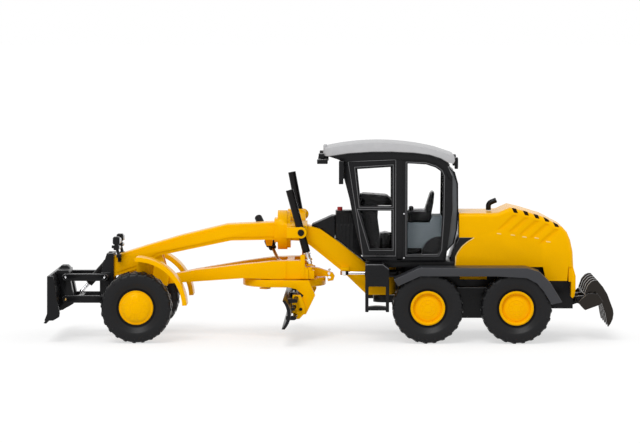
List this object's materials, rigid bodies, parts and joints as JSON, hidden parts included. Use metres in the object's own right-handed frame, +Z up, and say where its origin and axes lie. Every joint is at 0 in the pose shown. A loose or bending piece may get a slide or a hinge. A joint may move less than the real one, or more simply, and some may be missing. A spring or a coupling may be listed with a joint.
{
  "type": "motor grader scale model",
  "caption": "Die-cast scale model of an articulated motor grader with a front dozer blade, a moldboard under its gooseneck frame and a rear ripper.",
  "frame": {"origin": "on the ground under the middle of the overall length and width", "axes": "-X is the front of the machine, +Z is up, -Y is the machine's left side"},
  "size_m": [0.2054, 0.0792, 0.0719],
  "materials": {
    "yellow_paint": "gloss paint over zinc casting",
    "black_plastic": "satin moulded plastic",
    "roof_grey": "satin moulded plastic",
    "interior_grey": "satin moulded plastic",
    "tyre_rubber": "soft rubber",
    "chrome_rod": "bright plated",
    "clear_glazing": "clear moulding"
  },
  "bodies": {
    "rear_body": {"rear_frame": "black_plastic", "tandem_cases": "black_plastic", "rear_fenders": "black_plastic", "steps": "black_plastic", "cab_shell": "black_plastic", "cab_glass": "clear_glazing", "cab_interior": "interior_grey", "seat": "black_plastic", "roof_rim": "black_plastic", "roof": "roof_grey", "hood": "yellow_paint", "hood_panel": "black_plastic", "front_box": "black_plastic", "mirrors": "black_plastic", "work_lights": "black_plastic", "exhaust": "black_plastic"},
    "front_body": {"front_frame": "yellow_paint", "front_axle": "black_plastic", "saddle": "yellow_paint", "front_bracket": "black_plastic", "headlights": "black_plastic", "neck_fairing": "black_plastic"},
    "drawbar": {"drawbar": "yellow_paint"},
    "circle": {"circle_ring": "yellow_paint", "blade_arms": "yellow_paint"},
    "blade_tilt": {"blade_guides": "black_plastic"},
    "blade": {"blade": "black_plastic"},
    "dozer_lower": {"dozer_lower_arms": "black_plastic"},
    "dozer_upper": {"dozer_upper_links": "black_plastic"},
    "dozer_blade": {"dozer_blade": "black_plastic", "dozer_mast": "black_plastic"},
    "dozer_barrel": {"dozer_barrel": "black_plastic"},
    "dozer_rod": {"dozer_rod": "chrome_rod"},
    "shift_barrel": {"shift_barrel": "black_plastic"},
    "shift_rod": {"shift_rod": "chrome_rod"},
    "ripper": {"ripper": "black_plastic"},
    "knuckle_left": {"knuckle_left": "black_plastic", "front_fender_left": "yellow_paint"},
    "lift_barrel_left": {"lift_barrel_left": "black_plastic"},
    "lift_rod_left": {"lift_rod_left": "chrome_rod"},
    "artic_barrel_left": {"artic_barrel_left": "black_plastic"},
    "artic_rod_left": {"artic_rod_left": "chrome_rod"},
    "knuckle_right": {"knuckle_right": "black_plastic", "front_fender_right": "yellow_paint"},
    "lift_barrel_right": {"lift_barrel_right": "black_plastic"},
    "lift_rod_right": {"lift_rod_right": "chrome_rod"},
    "artic_barrel_right": {"artic_barrel_right": "black_plastic"},
    "artic_rod_right": {"artic_rod_right": "chrome_rod"},
    "wheel_front_left": {"tyre_front_left": "tyre_rubber", "rim_front_left": "yellow_paint"},
    "wheel_front_right": {"tyre_front_right": "tyre_rubber", "rim_front_right": "yellow_paint"},
    "wheel_middle_left": {"tyre_middle_left": "tyre_rubber", "rim_middle_left": "yellow_paint"},
    "wheel_middle_right": {"tyre_middle_right": "tyre_rubber", "rim_middle_right": "yellow_paint"},
    "wheel_rear_left": {"tyre_rear_left": "tyre_rubber", "rim_rear_left": "yellow_paint"},
    "wheel_rear_right": {"tyre_rear_right": "tyre_rubber", "rim_rear_right": "yellow_paint"}
  },
  "joints": [
    {"name": "articulation", "type": "hinge", "parent": "rear_body", "child": "front_body", "pos_m": [0.02, 0, 0.0208], "axis": [0, 0, 1], "range_deg": [-20, 20]},
    {"name": "artic_left_swing", "type": "hinge", "parent": "rear_body", "child": "artic_barrel_left", "pos_m": [0.0254, -0.0103, 0.0242], "axis": [0, 0, 1], "range_deg": [-13.98, 13.98]},
    {"name": "artic_left_stroke", "type": "slide", "parent": "artic_barrel_left", "child": "artic_rod_left", "axis": [-0.9935, 0.1142, 0], "range_m": [-0.00344, 0.00344]},
    {"name": "steer_left", "type": "hinge", "parent": "front_body", "child": "knuckle_left", "pos_m": [-0.0695, -0.0134, 0.0128], "axis": [0, 0, 1], "range_deg": [-25, 25]},
    {"name": "spin_front_left", "type": "hinge", "parent": "knuckle_left", "child": "wheel_front_left", "pos_m": [-0.0695, -0.0212, 0.0128], "axis": [0, 1, 0], "continuous": true},
    {"name": "spin_middle_left", "type": "hinge", "parent": "rear_body", "child": "wheel_middle_left", "pos_m": [0.0354, -0.0212, 0.0128], "axis": [0, 1, 0], "continuous": true},
    {"name": "spin_rear_left", "type": "hinge", "parent": "rear_body", "child": "wheel_rear_left", "pos_m": [0.0672, -0.0212, 0.0128], "axis": [0, 1, 0], "continuous": true},
    {"name": "artic_right_swing", "type": "hinge", "parent": "rear_body", "child": "artic_barrel_right", "pos_m": [0.0254, 0.0103, 0.0242], "axis": [0, 0, 1], "range_deg": [-13.98, 13.98]},
    {"name": "artic_right_stroke", "type": "slide", "parent": "artic_barrel_right", "child": "artic_rod_right", "axis": [-0.9935, -0.1142, 0], "range_m": [-0.00344, 0.00344]},
    {"name": "steer_right", "type": "hinge", "parent": "front_body", "child": "knuckle_right", "pos_m": [-0.0695, 0.0134, 0.0128], "axis": [0, 0, 1], "range_deg": [-25, 25]},
    {"name": "spin_front_right", "type": "hinge", "parent": "knuckle_right", "child": "wheel_front_right", "pos_m": [-0.0695, 0.0212, 0.0128], "axis": [0, 1, 0], "continuous": true},
    {"name": "spin_middle_right", "type": "hinge", "parent": "rear_body", "child": "wheel_middle_right", "pos_m": [0.0354, 0.0212, 0.0128], "axis": [0, 1, 0], "continuous": true},
    {"name": "spin_rear_right", "type": "hinge", "parent": "rear_body", "child": "wheel_rear_right", "pos_m": [0.0672, 0.0212, 0.0128], "axis": [0, 1, 0], "continuous": true},
    {"name": "drawbar_lift", "type": "hinge", "parent": "front_body", "child": "drawbar", "pos_m": [-0.061, 0, 0.0209], "axis": [0, 1, 0], "range_deg": [-2.5, 7]},
    {"name": "lift_left_swing", "type": "hinge", "parent": "front_body", "child": "lift_barrel_left", "pos_m": [-0.01042, -0.011, 0.0392], "axis": [0, 1, 0], "range_deg": [-1.96, 4.6]},
    {"name": "lift_left_stroke", "type": "slide", "parent": "lift_barrel_left", "child": "lift_rod_left", "axis": [0.2622, 0, -0.965], "range_m": [-0.00243, 0.00663]},
    {"name": "lift_right_swing", "type": "hinge", "parent": "front_body", "child": "lift_barrel_right", "pos_m": [-0.01128, 0.011, 0.0443], "axis": [0, 1, 0], "range_deg": [-1.05, 2.03]},
    {"name": "lift_right_stroke", "type": "slide", "parent": "lift_barrel_right", "child": "lift_rod_right", "axis": [0.1877, 0, -0.9822], "range_m": [-0.00242, 0.00661]},
    {"name": "shift_swing", "type": "hinge", "parent": "front_body", "child": "shift_barrel", "pos_m": [-0.02227, 0.00654, 0.0343], "axis": [0.89, 0.4342, 0.1389], "range_deg": [-5.94, 15.74]},
    {"name": "shift_stroke", "type": "slide", "parent": "shift_barrel", "child": "shift_rod", "axis": [0.3862, -0.5564, -0.7357], "range_m": [-0.00163, 0.00439]},
    {"name": "circle_rotate", "type": "hinge", "parent": "drawbar", "child": "circle", "pos_m": [-0.0168, 0, 0.0206], "axis": [0, 0, -1], "range_deg": [-40, 40]},
    {"name": "blade_pitch", "type": "hinge", "parent": "circle", "child": "blade_tilt", "pos_m": [-0.01035, 0, 0.0118], "axis": [0, 1, 0], "range_deg": [-10, 12]},
    {"name": "blade_side_shift", "type": "slide", "parent": "blade_tilt", "child": "blade", "axis": [0, 1, 0], "range_m": [-0.006, 0.006]},
    {"name": "dozer_lift", "type": "hinge", "parent": "front_body", "child": "dozer_lower", "pos_m": [-0.0821, 0, 0.0145], "axis": [0, 1, 0], "range_deg": [-22, 18]},
    {"name": "dozer_upper_swing", "type": "hinge", "parent": "front_body", "child": "dozer_upper", "pos_m": [-0.0821, 0, 0.0225], "axis": [0, 1, 0], "range_deg": [-22.5, 18.5]},
    {"name": "dozer_level", "type": "hinge", "parent": "dozer_lower", "child": "dozer_blade", "pos_m": [-0.0964, 0, 0.0145], "axis": [0, 1, 0], "range_deg": [-18.5, 22.5]},
    {"name": "dozer_cylinder_swing", "type": "hinge", "parent": "front_body", "child": "dozer_barrel", "pos_m": [-0.0819, 0, 0.0272], "axis": [0, 1, 0], "range_deg": [-7.9, 6.55]},
    {"name": "dozer_cylinder_stroke", "type": "slide", "parent": "dozer_barrel", "child": "dozer_rod", "axis": [-0.6674, 0, -0.7447], "range_m": [-0.00268, 0.00326]},
    {"name": "ripper_lift", "type": "hinge", "parent": "rear_body", "child": "ripper", "pos_m": [0.0909, 0, 0.0144], "axis": [0, 1, 0], "range_deg": [-15, 25]}
  ],
  "couplings": [
    {"joint": "artic_left_swing", "follows": "articulation", "ratio": 0.67424},
    {"joint": "artic_left_stroke", "follows": "articulation", "m_per_rad": -0.009573},
    {"joint": "artic_right_swing", "follows": "articulation", "ratio": 0.67424},
    {"joint": "artic_right_stroke", "follows": "articulation", "m_per_rad": 0.009573},
    {"joint": "steer_right", "follows": "steer_left", "ratio": 1},
    {"joint": "lift_left_swing", "follows": "drawbar_lift", "ratio": 0.58541},
    {"joint": "lift_left_stroke", "follows": "drawbar_lift", "m_per_rad": 0.053472},
    {"joint": "lift_right_swing", "follows": "drawbar_lift", "ratio": 0.21854},
    {"joint": "lift_right_stroke", "follows": "drawbar_lift", "m_per_rad": 0.053251},
    {"joint": "shift_swing", "follows": "drawbar_lift", "ratio": 2.1766},
    {"joint": "shift_stroke", "follows": "drawbar_lift", "m_per_rad": 0.035084},
    {"joint": "dozer_upper_swing", "follows": "dozer_lift", "ratio": 1},
    {"joint": "dozer_level", "follows": "dozer_lift", "ratio": -1},
    {"joint": "dozer_cylinder_swing", "follows": "dozer_lift", "ratio": 0.33616},
    {"joint": "dozer_cylinder_stroke", "follows": "dozer_lift", "m_per_rad": -0.008229}
  ]
}
